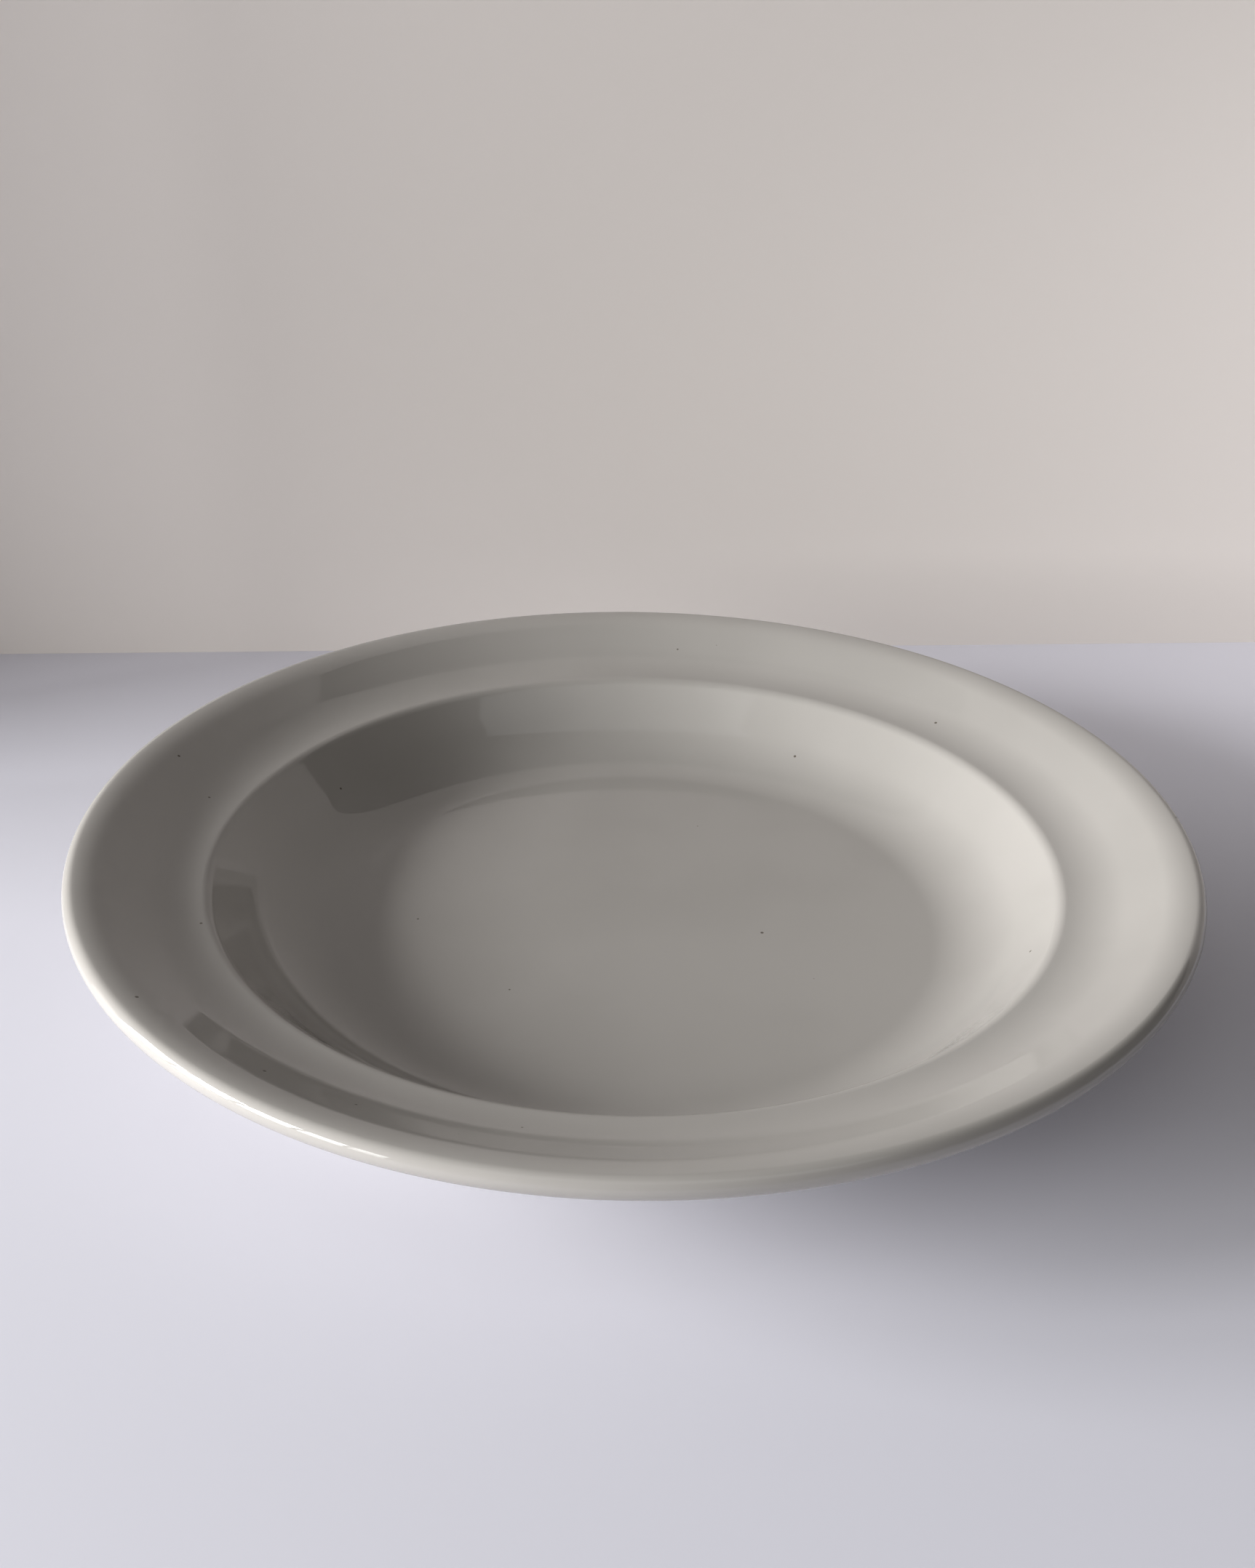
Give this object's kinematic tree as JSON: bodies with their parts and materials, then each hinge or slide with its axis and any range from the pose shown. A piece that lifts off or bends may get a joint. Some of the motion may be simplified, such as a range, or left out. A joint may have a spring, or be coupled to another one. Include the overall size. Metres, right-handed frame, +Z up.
{
  "type": "deep dinner plate",
  "caption": "Round deep dinner plate in light grey glazed porcelain, with a coved well, a wide dished rim and a rounded lip.",
  "frame": {"origin": "centre of the foot ring's resting face, on the plane that the plate stands on", "axes": "+Z up along the plate's axis, out of the well"},
  "size_m": [0.27, 0.27, 0.038],
  "materials": {
    "glaze": "light warm grey gloss glaze, bare on the foot ring"
  },
  "bodies": {
    "root": {"plate": "glaze"}
  },
  "joints": []
}
